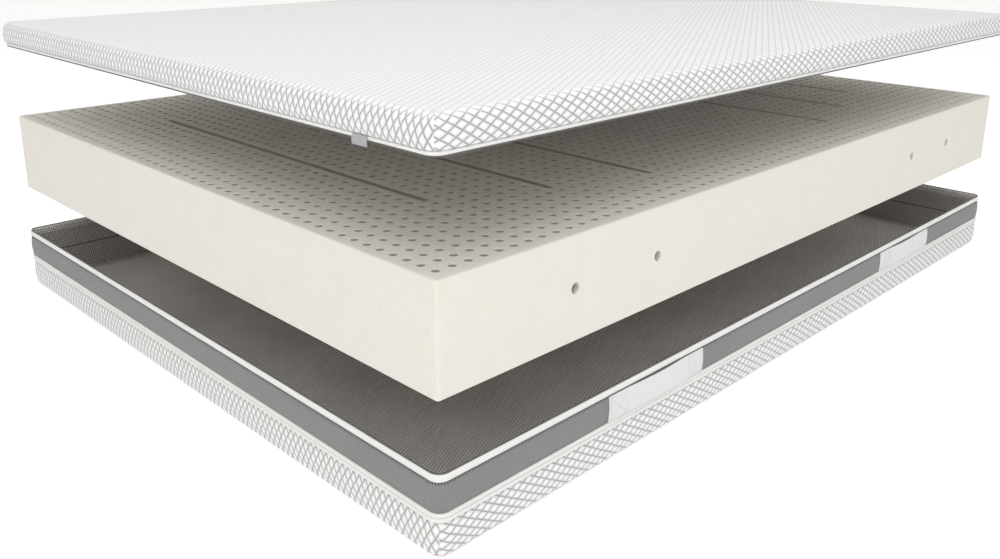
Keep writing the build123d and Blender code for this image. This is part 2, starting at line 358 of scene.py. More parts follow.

# %% [markdown]
# ## Spacer mesh
#
# The border breathes through a three-dimensional mesh: a grey face with rows of small
# open cells. Two sine waves at right angles multiplied together give the cells, each row
# shifted by half a cell. They lie deeper than the yarns between them, and their shade is
# painted dark. Just under the band the seam gathers the mesh, and each stitch pulls a small
# pit in it, with its shade painted nearly black.

# %% Mesh cloth
CELL_WIDTH = 4.6 * MM
CELL_HEIGHT = 4.2 * MM
PIT_PITCH = 4.6 * MM


def spacer_mesh():
    """Grey mesh with rows of cells, pitted along its upper seam."""
    finish = Finish("spacer_mesh", roughness=0.75, sheen_weight=0.15)
    place = finish.cloth_place()
    across, along = finish.axes(place)[:2]
    columns = (across * (TURN / CELL_WIDTH)).sine()
    rows = (along * (TURN / CELL_HEIGHT)).sine()
    cells = finish.step(columns * rows, 0.10, 0.60)
    seam = finish.step(along, -4.5 * MM, -2.0 * MM)
    pits = finish.step((across * (TURN / PIT_PITCH)).sine(), -0.1, 0.5) * seam
    fibre = finish.cloud(place, 800.0, 3.0)
    uneven = finish.cloud(place, 9.0)
    yarn = finish.blend(fibre * 0.5 + uneven * 0.5, (0.21, 0.205, 0.20, 1), (0.30, 0.295, 0.29, 1))
    # Painted shade in the open cells.
    woven = finish.blend(cells, yarn, (0.13, 0.13, 0.13, 1))
    # Painted shade, nearly black, in the seam's pits.
    finish.colour(finish.blend(pits * 0.9, woven, (0.05, 0.05, 0.05, 1)))
    finish.relief(fibre * 0.2 + rows * 0.3 - cells - pits, 0.9 * MM)
    return finish.material


MESH = spacer_mesh()
print("made", MESH.name)

# %% [markdown]
# ## Grey lining
#
# The tray is lined with a thin grey cloth that looks darker than it is, because the foam
# shades it. It has slanting ribs, crossed by a second, weaker set, so that it is covered in
# long narrow diamonds. Darker copies of the same cloth paint shade on the walls, and a
# deeper painted shade on their turned seams.

# %% Lining cloth
RIB_PITCH = 6.4 * MM
RIB_SLANT = 0.45


def grey_lining(name, depth):
    """Ribbed cloth, its colour scaled by depth: 1 is the palest, and lower values paint shade."""
    finish = Finish(name, roughness=0.7, sheen_weight=0.3, sheen_roughness=0.35)
    place = finish.cloth_place()
    across, along = finish.axes(place)[:2]
    ribs = ((across + along * RIB_SLANT) * (TURN / RIB_PITCH)).sine()
    crossing = ((along - across * RIB_SLANT) * (TURN / RIB_PITCH)).sine()
    fibre = finish.cloud(place, 700.0, 3.0)
    uneven = finish.cloud(place, 5.0)
    share = ribs * 0.27 + crossing * 0.17 + fibre * 0.3 + uneven * 0.4 + 0.16
    dark = tuple(depth * part for part in (0.20, 0.190, 0.181)) + (1.0,)
    light = tuple(depth * part for part in (0.74, 0.707, 0.674)) + (1.0,)
    finish.colour(finish.blend(share, dark, light))
    finish.relief(ribs * 0.6 + crossing * 0.4 + fibre * 0.3, 0.9 * MM)
    return finish.material


LINING = grey_lining("grey_lining", 1.0)
# Painted shade: a darker copy of the lining for the walls and the floor tape.
WALL_LINING_PAINTED_SHADE = grey_lining("wall_lining", 0.72)
# Deeper painted shade: for the wall's seam and the binding and tape stitches.
SEAM_LINING_PAINTED_SHADE = grey_lining("seam_lining_painted_shade", 0.30)
print("made", LINING.name, WALL_LINING_PAINTED_SHADE.name, SEAM_LINING_PAINTED_SHADE.name)

# %% [markdown]
# ## Foam
#
# The core is moulded in one piece and comes out of its mould with a thin cream skin. The
# skin is matt, slightly mottled, and pricked with tiny pores, whose shade is painted
# darker. It has no direction, so it reads the object's own coordinates. Inside the pin holes,
# slots and side bores the shade is painted in: a little below the surface the colour turns dark
# brown.


# %% Foam skin
# The painted shade in the holes starts this far inside the block's faces and fades in over these
# lengths.
HOLE_SHADE_SIDE_INSET = 3.2 * MM
HOLE_SHADE_TOP_INSET = 0.3 * MM
HOLE_SHADE_SIDE_FADE = 22 * MM
HOLE_SHADE_TOP_FADE = 1.6 * MM


def foam_skin_and_hole_shade():
    """Cream skin outside, painted shade inside the holes."""
    finish = Finish("foam", roughness=0.72, sheen_weight=0.1)
    place = finish.object_place()
    x, y, z = finish.axes(place)
    low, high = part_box("core_block")
    # inside: the share of painted shade, 1 inside the pin holes, slots and bores.
    inside = 1.0
    for number, axis, skin, fade in (
        (x, 0, HOLE_SHADE_SIDE_INSET, HOLE_SHADE_SIDE_FADE),
        (y, 1, HOLE_SHADE_SIDE_INSET, HOLE_SHADE_SIDE_FADE),
        (z, 2, HOLE_SHADE_TOP_INSET, HOLE_SHADE_TOP_FADE),
    ):
        start, end = low[axis] + skin, high[axis] - skin
        inside = finish.step(number, start, start + fade) * inside
        inside = (1 - finish.step(number, end - fade, end)) * inside
    mottle = finish.cloud(place, 18.0, 4.0)
    grain = finish.cloud(place, 420.0, 3.0)
    pores = finish.node("ShaderNodeTexVoronoi", sockets={"Vector": place, "Scale": 260.0})
    pits = 1 - finish.step(pores, 0.10, 0.26)
    cream = finish.blend(
        mottle * 0.7 + grain * 0.3, (0.668, 0.636, 0.572, 1), (0.738, 0.713, 0.660, 1)
    )
    # Painted shade in each pore.
    skin = finish.blend(pits * 0.30, cream, (0.52, 0.47, 0.37, 1))
    # Painted shade inside the holes: the colour turns dark brown there.
    finish.colour(finish.blend(inside, skin, (0.45, 0.385, 0.31, 1)))
    finish.relief(grain * 0.5 + mottle * 0.3 - pits * 0.6, 0.5 * MM)
    return finish.material


FOAM = foam_skin_and_hole_shade()
print("made", FOAM.name)

# %% [markdown]
# ## Zip nylon and zip metal
#
# The zip's coils are cloudy dark grey nylon, like the lining beside them. Its slider is
# nickel-plated, with fine brushing and duller patches.


# %% Small finishes
def zip_nylon():
    """Dark grey nylon, a little uneven."""
    finish = Finish("zip_nylon", roughness=0.42)
    cloud = finish.cloud(finish.object_place(), 90.0)
    finish.colour(finish.blend(cloud, (0.08, 0.08, 0.08, 1), (0.14, 0.14, 0.14, 1)))
    return finish.material


BRUSH_PITCH = 0.25 * MM


def zip_metal():
    """Brushed nickel plate, duller where it is handled."""
    finish = Finish("zip_metal", metallic=1.0)
    place = finish.object_place()
    wear = finish.cloud(place, 160.0, 4.0)
    height = finish.axes(place)[2]
    brushing = (height * (TURN / BRUSH_PITCH) + wear * 9.0).sine()
    finish.colour(finish.blend(wear, (0.62, 0.62, 0.63, 1), (0.80, 0.80, 0.81, 1)))
    finish.plug(finish.surface.inputs["Roughness"], wear * 0.25 + 0.14)
    finish.relief(brushing * 0.3 + wear * 0.5, 0.03 * MM)
    return finish.material


NYLON = zip_nylon()
METAL = zip_metal()
print("made", NYLON.name, METAL.name)

# %% [markdown]
# ## Hand tools
#
# Each strip, shell and lining starts as a flat primitive and is then extruded row by row.
# Operators act on whatever is selected, so the tools below always put everything down
# first, open one piece, and select by place.


# %% Selecting and opening pieces
def put_down():
    """Leave edit mode and deselect everything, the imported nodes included."""
    if bpy.context.object and bpy.context.object.mode != "OBJECT":
        bpy.ops.object.mode_set(mode="OBJECT")
    bpy.ops.object.select_all(action="DESELECT")


def pick(piece):
    """Select one piece and nothing else."""
    put_down()
    bpy.context.view_layer.objects.active = piece
    piece.select_set(True)


def take_up(piece, kind="VERT"):
    """Open one piece for editing with nothing in it selected."""
    pick(piece)
    bpy.ops.object.mode_set(mode="EDIT")
    bpy.ops.mesh.select_mode(type=kind)
    bpy.ops.mesh.select_all(action="DESELECT")


def opened():
    """The mesh of the piece that is being edited."""
    return bmesh.from_edit_mesh(bpy.context.object.data)


def choose(kind, test, add=False):
    """Select the vertices, edges or faces that pass a test."""
    if not add:
        bpy.ops.mesh.select_all(action="DESELECT")
    mesh = opened()
    for part in getattr(mesh, kind):
        if test(part):
            part.select_set(True)
    mesh.select_flush_mode()
    bmesh.update_edit_mesh(bpy.context.object.data)


def middle_of(part):
    """The middle of an edge or a face."""
    corners = [vertex.co for vertex in part.verts]
    return sum(corners, Vector()) / len(corners)


def is_open(edge):
    """Whether an edge has cloth on one side at most."""
    return len(edge.link_faces) < 2


def move_chosen(shift):
    """Move every selected vertex by what shift(point) says."""
    mesh = opened()
    for vertex in mesh.verts:
        if vertex.select:
            vertex.co += shift(vertex.co)
    bmesh.update_edit_mesh(bpy.context.object.data)


print("selection tools ready")

# %% [markdown]
# ### Starting and finishing a piece
#
# A new primitive gets its real size at once, and its place is kept in its mesh, so that
# every finished piece sits at the origin. Finishing merges doubles, turns faces outwards,
# smooths the shading, and names the finish and the body that the piece rides on.


# %% Starting, cutting and dressing
def add_primitive(kind, name, place, scale=(1, 1, 1), **sizes):
    """A new primitive of a real size, its place kept in its mesh."""
    put_down()
    getattr(bpy.ops.mesh, f"primitive_{kind}_add")(location=place, **sizes)
    piece = bpy.context.object
    piece.name = name
    piece.data.name = name
    piece.scale = scale
    bpy.ops.object.transform_apply(location=True, rotation=True, scale=True)
    return piece


def slice_through(cut, normal):
    """Cut everything in the open piece across a plane."""
    bpy.ops.mesh.select_all(action="SELECT")
    bpy.ops.mesh.bisect(plane_co=cut, plane_no=normal)


def tidy_faces(piece):
    """Merge doubles and turn every face outwards."""
    take_up(piece)
    bpy.ops.mesh.select_all(action="SELECT")
    bpy.ops.mesh.remove_doubles(threshold=0.01 * MM)
    bpy.ops.mesh.normals_make_consistent(inside=False)
    put_down()


def dress(piece, material, body, angle=40):
    """Give a piece its finish, its smooth shading and the body it rides on."""
    pick(piece)
    piece.data.materials.clear()
    piece.data.materials.append(material)
    bpy.ops.object.shade_smooth_by_angle(angle=math.radians(angle))
    put_down()
    if body:
        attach(piece, body)
    print(f"{piece.name}: {len(piece.data.polygons)} faces")


print("making tools ready")

# %% [markdown]
# ## Rounded outlines
#
# Every strip of the cover follows the same rounded rectangle at its own distance from the
# face. The direction straight out of that outline, and the distance walked along it, are
# both simple formulas, so they are worked out once here.


# %% Outline arithmetic
class Outline:
    """A rounded rectangle seen from above."""

    def __init__(self, low, high, corner):
        self.low = low
        self.high = high
        self.corner = corner
        self.middle = (low + high) / 2
        self.flat_x = (high.x - low.x) / 2 - corner
        self.flat_y = (high.y - low.y) / 2 - corner
        self.length = 4 * (self.flat_x + self.flat_y) + TURN * corner

    def outward(self, point):
        """The direction straight out of the outline at a point."""
        inner_x = max(-self.flat_x, min(self.flat_x, point.x - self.middle.x))
        inner_y = max(-self.flat_y, min(self.flat_y, point.y - self.middle.y))
        away = Vector((point.x - self.middle.x - inner_x, point.y - self.middle.y - inner_y, 0))
        return away.normalized()

    def walked(self, point):
        """How far round the outline a point is, from the start of the front side."""
        x, y = point.x - self.middle.x, point.y - self.middle.y
        a, b, arc = self.flat_x, self.flat_y, self.corner * math.pi / 2
        away = self.outward(point)
        angle = math.atan2(away.y, away.x)
        if abs(x) <= a:
            return x + a if y < 0 else 3 * a + 2 * b + 2 * arc - x
        if abs(y) <= b:
            return 2 * a + arc + y + b if x > 0 else 4 * a + 3 * b + 3 * arc - y
        if x > 0 and y < 0:
            return 2 * a + self.corner * (angle + math.pi / 2)
        if x > 0:
            return 2 * a + 2 * b + arc + self.corner * angle
        if y > 0:
            return 4 * a + 2 * b + 2 * arc + self.corner * (angle - math.pi / 2)
        return 4 * a + 4 * b + 3 * arc + self.corner * (angle + math.pi)


COVER_CORNER = 20 * MM
LID_CORNER = 24 * MM
LINING_CORNER = 7 * MM
FACE = Outline(*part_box("border_mesh"), COVER_CORNER)
print(f"round the cover: {FACE.length:.3f} m")

# %% [markdown]
# ### Cloth coordinates
#
# A weave follows the cloth, so every piece gets a map of where each point was before it was
# sewn: along and across the cloth, in metres. A strip runs along its outline. A shell is
# one flat cloth turned over at its edges.


# %% Cloth coordinates
def lay_flat(piece, place):
    """Write cloth coordinates: place(point, middle of its face) in metres."""
    layer = piece.data.uv_layers.new(name="cloth")
    for face in piece.data.polygons:
        for loop in face.loop_indices:
            point = piece.data.vertices[piece.data.loops[loop].vertex_index].co
            layer.data[loop].uv = place(point, face.center)


def round_the_ring(outline, origin):
    """Cloth coordinates of a strip: along the outline, and away from its first edge."""

    def place(point, middle):
        here, start = outline.walked(point), outline.walked(middle)
        if here - start > outline.length / 2:
            here -= outline.length
        if start - here > outline.length / 2:
            here += outline.length
        inward = (point - outline.middle).dot(outline.outward(middle))
        reach = (middle - outline.middle).dot(outline.outward(middle))
        return here, point.z - origin + (inward - reach)

    return place


def turned_over(outline, face_height, rounding):
    """Cloth coordinates of a shell cut from one cloth and turned over at its edges.

    At a corner the cloth is cut on the slant, so each side keeps its own threads."""
    quarter = rounding * math.pi / 2

    def place(point, middle):
        away = outline.outward(middle)
        flat_x, flat_y = outline.flat_x + outline.corner, outline.flat_y + outline.corner
        x, y = point.x - outline.middle.x, point.y - outline.middle.y
        drop = abs(point.z - face_height)
        if drop < 1e-6:
            return x, y
        if drop < rounding:
            run = rounding * math.acos(1 - drop / rounding)
        else:
            run = quarter + drop - rounding
        local = outline.outward(point)
        if abs(away.x) > abs(away.y):
            bend = math.atan2(abs(local.y), abs(local.x)) * outline.corner
            along = math.copysign(min(abs(y), outline.flat_y) + bend, y)
            return math.copysign(flat_x - rounding + run, x), along
        bend = math.atan2(abs(local.x), abs(local.y)) * outline.corner
        along = math.copysign(min(abs(x), outline.flat_x) + bend, x)
        return along, math.copysign(flat_y - rounding + run, y)

    return place


print("cloth coordinates ready")

# %% [markdown]
# ## Sewing a strip round the cover
#
# A strip has the same section all the way round. The flat plate's four corners are
# bevelled, its face is thrown away, and the loop that is left is extruded once for every
# point of the section. Closing the section makes a solid strip.

# %% Strips
CORNER_ROWS = 8


def rounded_loop(name, outline, height, run):
    """The outline as a loop of edges, left open in edit mode with all of it selected."""
    width = outline.high.x - outline.low.x
    length = outline.high.y - outline.low.y
    place = (outline.middle.x, outline.middle.y, height)
    piece = add_primitive("plane", name, place, (width, length, 1), size=1)
    take_up(piece)
    bpy.ops.mesh.select_all(action="SELECT")
    bpy.ops.mesh.bevel(offset=outline.corner, segments=CORNER_ROWS, affect="VERTICES")
    bpy.ops.mesh.delete(type="ONLY_FACE")
    bpy.ops.mesh.select_mode(type="EDGE")
    for axis, size in ((0, 2 * outline.flat_x), (1, 2 * outline.flat_y)):
        choose(
            "edges",
            lambda edge: abs(edge.verts[0].co[axis] - edge.verts[1].co[axis]) > size * 0.9,
        )
        bpy.ops.mesh.subdivide(number_cuts=max(1, round(size / run) - 1))
    bpy.ops.mesh.select_mode(type="VERT")
    bpy.ops.mesh.select_all(action="SELECT")
    return piece


def carry_on(outline, section, start):
    """Extrude the selected loop through the points of a section, (out, height) each."""
    out, height = start
    for next_out, next_height in section:
        bpy.ops.mesh.extrude_region_move()
        step = Vector((0, 0, next_height - height))
        move_chosen(lambda point: outline.outward(point) * (next_out - out) + step)
        out, height = next_out, next_height


def sew_strip(name, outline, section, run=40 * MM):
    """A solid strip round the cover with a closed section."""
    piece = rounded_loop(name, outline, section[0][1], run)
    move_chosen(lambda point: outline.outward(point) * section[0][0])
    carry_on(outline, [*section[1:], section[0]], section[0])
    tidy_faces(piece)
    lay_flat(piece, round_the_ring(outline, section[0][1]))
    return piece


print("strip tools ready")

# %% [markdown]
# ### Sections
#
# A band's section is straight at the back and swells at the face, with its two edges eased.
# Piping has a round section. A rolled edge is a quarter round, and a padded side bulges
# between its two seams.


# %% Sections
def soft_section(inner, outer, bottom, top, bulge, rows=6, ease=1.0 * MM):
    """A strip's section: straight at the back, rounded and bulging at the face."""
    points = [(inner, top), (inner, bottom)]
    for row in range(rows + 1):
        share = row / rows
        swell = bulge * math.sin(math.pi * share)
        edge = ease * (abs(2 * share - 1) ** 6)
        points.append((outer + swell - edge, bottom + (top - bottom) * share))
    return points


def round_section(centre_out, centre_height, half_depth, half_height, points=12):
    """A round section, such as piping."""
    return [
        (
            centre_out + half_depth * math.cos(TURN * k / points),
            centre_height + half_height * math.sin(TURN * k / points),
        )
        for k in range(points)
    ]


def quarter_round(radius, rows):
    """A rolled edge as rows (out, drop), from the flat face to the side."""
    angles = [math.pi / 2 * row / rows for row in range(1, rows + 1)]
    return [(-radius * (1 - math.sin(angle)), radius * (1 - math.cos(angle))) for angle in angles]


def bulging_side(start, end, bulge, rows, lean=1.0):
    """Rows (out, height) of a side that swells between two heights."""
    shares = [row / rows for row in range(1, rows + 1)]
    return [
        (bulge * math.sin(math.pi * share**lean), start + (end - start) * share)
        for share in shares
    ]


print("sections ready")

# %% [markdown]
# ## Padded shells
#
# The cover top and the tray's lower part are both quilted cloth pulled over a box. Each
# starts as a flat grid, so there are points to swell. Its edge is rolled over in a quarter
# round, carried down the side, tucked in at the seam, and closed behind. Last it is patted:
# its skin goes in by about a millimetre here and there, as wadding never lies quite even.

# %% Shells
GRID_CELL = 16 * MM
ROLL_ROWS = 6
HAIR = 0.05 * MM


def padded_shell(name, outline, face_height, rounding, side):
    """A quilted shell: a flat face, a rolled edge, and side rows (out, height)."""
    width = outline.high.x - outline.low.x - 2 * rounding
    length = outline.high.y - outline.low.y - 2 * rounding
    piece = add_primitive(
        "grid",
        name,
        (outline.middle.x, outline.middle.y, face_height),
        (width, length, 1),
        size=1,
        x_subdivisions=round(width / GRID_CELL),
        y_subdivisions=round(length / GRID_CELL),
    )
    take_up(piece)
    choose("verts", lambda vertex: len(vertex.link_edges) == 2)
    bpy.ops.mesh.bevel(offset=outline.corner - rounding, segments=6, affect="VERTICES")
    bpy.ops.mesh.select_mode(type="EDGE")
    choose("edges", is_open)
    bpy.ops.mesh.select_mode(type="VERT")
    down = 1 if side[0][1] > face_height else -1
    edge = quarter_round(rounding, ROLL_ROWS)
    roll = [(out, face_height + down * drop) for out, drop in edge]
    carry_on(outline, roll + side, (-rounding, face_height))
    bpy.ops.mesh.edge_face_add()
    tidy_faces(piece)
    return piece


def pat(piece, outline, low, high, depth):
    """Press the outer skin in between two heights, and the flat face at the upper one."""
    take_up(piece)
    flat = Vector((outline.flat_x, outline.flat_y, 0))
    presses = [0.0]
    for vertex in opened().verts:
        away = outline.outward(vertex.co)
        past = Vector((abs(vertex.co.x), abs(vertex.co.y), 0)) - flat
        out = max(past.x, past.y, past.length if min(past.x, past.y) > 0 else 0)
        if out > outline.corner - MM and low < vertex.co.z < high:
            wave = noise.noise(vertex.co * 9) + 0.6 * noise.noise(vertex.co * 28)
            presses.append(depth * (0.5 + 0.5 * wave))
            vertex.co -= away * presses[-1]
        if abs(vertex.co.z - high) < HAIR:
            wave = noise.noise(vertex.co * 5) + 0.4 * noise.noise(vertex.co * 16)
            presses.append(depth * (0.5 + 0.5 * wave))
            vertex.co.z -= presses[-1]
    bmesh.update_edit_mesh(piece.data)
    put_down()
    print(f"{piece.name}: pressed in by {min(presses) / MM:.2f} to {max(presses) / MM:.2f} mm")


print("grid cell", GRID_CELL)

# %% [markdown]
# ## The cover top
#
# A padded top that swells past its white band. Its lattice cloth runs over the edge and
# down the side, where it stands nearly upright, bulges by a couple of millimetres, and is
# pinched in just above the band. Underneath it is hollow, because it is pulled over the
# core like a lid.

# %% Cover top
lid_low, lid_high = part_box("lid_fabric")
lid_outline = Outline(lid_low, lid_high, LID_CORNER)
lining_low, lining_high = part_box("lid_lining")
LID_ROUNDING = 22 * MM
LID_BULGE = 2.2 * MM
LID_SEAM = 4.2 * MM
LINING_ROOM = 1.6 * MM

side_rows = bulging_side(lid_high.z - LID_ROUNDING, lid_low.z + LID_SEAM, LID_BULGE, 5)
for tuck, above in ((1.4, 2.4), (3.4, 1.2), (5.5, 0.2)):
    side_rows.append((-tuck * MM, lid_low.z + above * MM))
lining_inset = lining_low.x - lid_low.x - LINING_ROOM
side_rows.append((-lining_inset, side_rows[-1][1]))
side_rows.append((-lining_inset, lining_high.z))
lid_cover = padded_shell("lid_cover", lid_outline, lid_high.z, LID_ROUNDING, side_rows)
lay_flat(lid_cover, turned_over(lid_outline, lid_high.z, LID_ROUNDING))
LID_PRESS = 1.2 * MM
pat(lid_cover, lid_outline, lid_low.z + 4 * MM, lid_high.z, LID_PRESS)
dress(lid_cover, KNIT, "cover_top", 60)
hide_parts("lid_fabric", "lid_wadding")

# %% [markdown]
# ## Inside the cover top
#
# The same grey cloth lines the hollow. It is one sheet with turned-down sides: a plate
# whose edge is extruded down and given a millimetre of thickness outwards, where the
# wadding is.

# %% Lid lining
CLOTH = 0.9 * MM
LINING_CELL = 60 * MM


def lining_cup(name, outline, flat_height, edge_height):
    """A sheet with turned sides."""
    width = outline.high.x - outline.low.x
    length = outline.high.y - outline.low.y
    piece = rounded_loop(name, outline, flat_height, LINING_CELL)
    bpy.ops.mesh.edge_face_add()
    for axis, size in ((0, width), (1, length)):
        cells = round(size / LINING_CELL)
        for k in range(1, cells):
            place = outline.middle.copy()
            place[axis] += size * (k / cells - 0.5)
            slice_through(place, (axis == 0, axis == 1, 0))
    bpy.ops.mesh.select_mode(type="EDGE")
    choose("edges", is_open)
    bpy.ops.mesh.select_mode(type="VERT")
    carry_on(outline, [(0, edge_height)], (0, flat_height))
    put_down()
    return piece


def thicken(piece, thickness, side):
    """Give a sheet its thickness: side 1 is outside its normals, -1 inside."""
    pick(piece)
    modifier = piece.modifiers.new("thickness", "SOLIDIFY")
    modifier.thickness = thickness
    modifier.offset = side
    bpy.ops.object.modifier_apply(modifier=modifier.name)


lining_outline = Outline(
    lining_low + Vector((MM, MM, 0)), lining_high - Vector((MM, MM, 0)), LINING_CORNER - MM
)
lid_lining = lining_cup("lid_lining_cloth", lining_outline, lining_high.z - MM, lining_low.z)
take_up(lid_lining)
bpy.ops.mesh.select_all(action="SELECT")
bpy.ops.mesh.normals_make_consistent(inside=False)
thicken(lid_lining, CLOTH, 1.0)
lay_flat(lid_lining, turned_over(lining_outline, lining_high.z, 1e-5))
dress(lid_lining, LINING, "cover_top")
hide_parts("lid_lining")

# %% [markdown]
# ## Bands
#
# Each half of the zip is sewn to a white band. The upper one is narrow. The lower one is
# twice as high, stands on top of the mesh border, and rolls over softly at its top.

# %% Zip bands
upper_low, upper_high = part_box("zip_band_upper")
lower_low, lower_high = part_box("zip_band_lower")
BAND_BACK = -3.4 * MM
upper_section = soft_section(BAND_BACK, 0, upper_low.z, upper_high.z, 0.7 * MM, ease=1.2 * MM)
lower_section = soft_section(BAND_BACK, 0, lower_low.z, lower_high.z, 1.0 * MM, ease=1.6 * MM)
for name, node, body, section in (
    ("lid_band", "zip_band_upper", "cover_top", upper_section),
    ("base_band", "zip_band_lower", "cover_base", lower_section),
):
    band = sew_strip(name, FACE, section)
    dress(band, BAND, body)
    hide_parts(node)

# %% [markdown]
# ## Piping
#
# Two rounds of piping lie one on the other between the mesh and the knit. Each is a cord
# in a folded tape, made here with an oval section that is round in front.

# %% Piping
for name, node in (("piping_low", "piping_lower"), ("piping_high", "piping_upper")):
    low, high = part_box(node)
    stand = high.x - FACE.high.x
    depth = (stand + 3.2 * MM) / 2
    section = round_section(
        stand - depth, (low.z + high.z) / 2, depth, (high.z - low.z) / 2 - 0.1 * MM
    )
    piping = sew_strip(name, FACE, section)
    dress(piping, BAND, "cover_base", 60)
    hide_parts(node)

# %% [markdown]
# ## Mesh border
#
# The border is a barrel: sewn tight at its top and bottom, and free to swell between them.
# A sine over its height gives the barrel. The strip is drawn 4.6 mm deep, so it makes the
# wall solid, and the model's four upright pads behind it, one to a side, are hidden.

# %% Mesh border
mesh_low, mesh_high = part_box("border_mesh")
MESH_BULGE = 1.8 * MM
WALL_DEPTH = 4.6 * MM
SIDES = ("front", "right", "back", "left")
mesh_section = soft_section(
    -WALL_DEPTH, 0, mesh_low.z, mesh_high.z, MESH_BULGE, rows=10, ease=0.6 * MM
)
mesh_border = sew_strip("mesh_border", FACE, mesh_section, run=30 * MM)
dress(mesh_border, MESH, "cover_base", 60)
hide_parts("border_mesh", *(f"border_pad_{side}" for side in SIDES))
print("bulge of the border", MESH_BULGE)

# %% [markdown]
# ## The tray's knit
#
# Underside and lower border are one cloth again, with the lattice carried round the bottom
# edge. The border bulges between the ground and the piping.

# %% Base cover
knit_low = Vector((FACE.low.x, FACE.low.y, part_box("base_underside")[0].z))
knit_high = Vector((FACE.high.x, FACE.high.y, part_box("base_border_front")[1].z))
floor_low, floor_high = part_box("floor_lining")
base_outline = Outline(knit_low, knit_high, COVER_CORNER)
BASE_ROUNDING = 9.5 * MM
BASE_BULGE = 2.4 * MM
BASE_SEAM = 1.5 * MM
BASE_PRESS = 1.4 * MM
base_bottom, base_top = knit_low.z + BASE_ROUNDING, knit_high.z
base_rows = bulging_side(base_bottom, base_top - BASE_SEAM, BASE_BULGE, 6, lean=0.9)
base_rows.append((-2.0 * MM, base_top))
base_rows.append((-WALL_DEPTH, base_top))
base_rows.append((-WALL_DEPTH, floor_low.z))
base_cover = padded_shell("base_cover", base_outline, knit_low.z, BASE_ROUNDING, base_rows)
lay_flat(base_cover, turned_over(base_outline, knit_low.z, BASE_ROUNDING))
pat(base_cover, base_outline, knit_low.z + 4 * MM, knit_high.z - 2 * MM, BASE_PRESS)
dress(base_cover, KNIT, "cover_base", 60)
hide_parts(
    "base_underside", *(f"base_border_{side}" for side in SIDES), "base_wadding"
)

# %% [markdown]
# ## The tray's lining
#
# Floor and walls are dark ribbed cloth. The floor is one sheet cut to the tray. Its edge is
# turned down into the seam, and its underside is closed, so it is a thin solid.

# %% Floor lining
floor_outline = Outline(floor_low, floor_high, LINING_CORNER)
floor_cloth = lining_cup("floor_cloth", floor_outline, floor_high.z, floor_low.z)
take_up(floor_cloth)
choose("edges", is_open)
bpy.ops.mesh.edge_face_add()
tidy_faces(floor_cloth)
lay_flat(floor_cloth, lambda point, middle: (point.x, point.y))
dress(floor_cloth, LINING, "cover_base")
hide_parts("floor_lining")

# %% [markdown]
# ### The wall's lining
#
# The wall is one long strip of the same cloth, with painted shade making it darker, and its ends
# sewn together.

# %% Wall lining
wall_low, wall_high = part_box("wall_lining")
wall_outline = Outline(wall_low, wall_high, LINING_CORNER)
wall_section = [
    (-0.1 * MM, wall_high.z),
    (-1.0 * MM, wall_high.z),
    (-1.0 * MM, wall_low.z),
    (-0.1 * MM, wall_low.z),
]
wall_cloth = sew_strip("wall_cloth", wall_outline, wall_section)
dress(wall_cloth, WALL_LINING_PAINTED_SHADE, "cover_base")
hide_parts("wall_lining")

# %% [markdown]
# ### Binding
#
# A folded strip covers the raw edge at the top of the wall. Its section runs up the inside,
# over the edge, and back down behind.

# %% Binding
binding_low, binding_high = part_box("inner_binding")
binding_section = [
    (-1.1 * MM, binding_low.z),
    (-1.1 * MM, binding_high.z - 0.5 * MM),
    (-0.6 * MM, binding_high.z + 0.2 * MM),
    (2.7 * MM, binding_high.z + 0.2 * MM),
    (2.7 * MM, binding_high.z - MM),
    (-0.1 * MM, binding_high.z - MM),
    (-0.1 * MM, binding_low.z),
]
top_binding = sew_strip("top_binding", wall_outline, binding_section)
dress(top_binding, LINING, "cover_base")
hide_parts("inner_binding")

# %% [markdown]
# ### Wall seam
#
# Half-way up, behind the piping, the wall is seamed. The seam's turned edge makes a low
# ridge with a crease over it, painted in deep shade, and a row of pale thread runs just below.

# %% Wall seam
SEAM_HEIGHT = 72 * MM
seam_section = [
    (-0.6 * MM, SEAM_HEIGHT - 3.2 * MM),
    (-0.6 * MM, SEAM_HEIGHT + 0.6 * MM),
    (-1.15 * MM, SEAM_HEIGHT + 0.5 * MM),
    (-1.45 * MM, SEAM_HEIGHT - 0.4 * MM),
    (-1.40 * MM, SEAM_HEIGHT - 2.6 * MM),
    (-1.15 * MM, SEAM_HEIGHT - 3.2 * MM),
]
wall_seam = sew_strip("wall_seam", wall_outline, seam_section)
dress(wall_seam, SEAM_LINING_PAINTED_SHADE, "cover_base")

# %% [markdown]
# ### Floor tape
#
# The flat tape over the seam between floor and wall is sewn down through the wadding. It takes the
# wall's painted shade.

# %% Floor tape
tape_low, tape_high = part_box("floor_seam_tape")
tape_section = [
    (-1.0 * MM, tape_low.z),
    (-1.0 * MM, tape_high.z),
    (-21.0 * MM, tape_high.z),
    (-21.0 * MM, tape_low.z),
]
tape_outline = Outline(wall_low, wall_high, 22 * MM)
floor_tape = sew_strip("floor_tape", tape_outline, tape_section)
dress(floor_tape, WALL_LINING_PAINTED_SHADE, "cover_base")
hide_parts("floor_seam_tape")

# %% [markdown]
# ## Rows that go right round
#
# Zip teeth and stitches repeat over a thousand times. One is modelled at the start of a
# straight line, an array makes the row, and a curve modifier bends the row along the
# outline. Both modifiers are applied, so only a mesh is left.


# %% Array round the outline
def repeat(piece, count, offset, merge=False):
    """A row of copies, each an offset past the last."""
    pick(piece)
    array = piece.modifiers.new("row", "ARRAY")
    array.count = count
    array.use_relative_offset = False
    array.use_constant_offset = True
    array.constant_offset_displace = offset
    array.use_merge_vertices = merge
    array.merge_threshold = 0.1 * MM
    bpy.ops.object.modifier_apply(modifier=array.name)


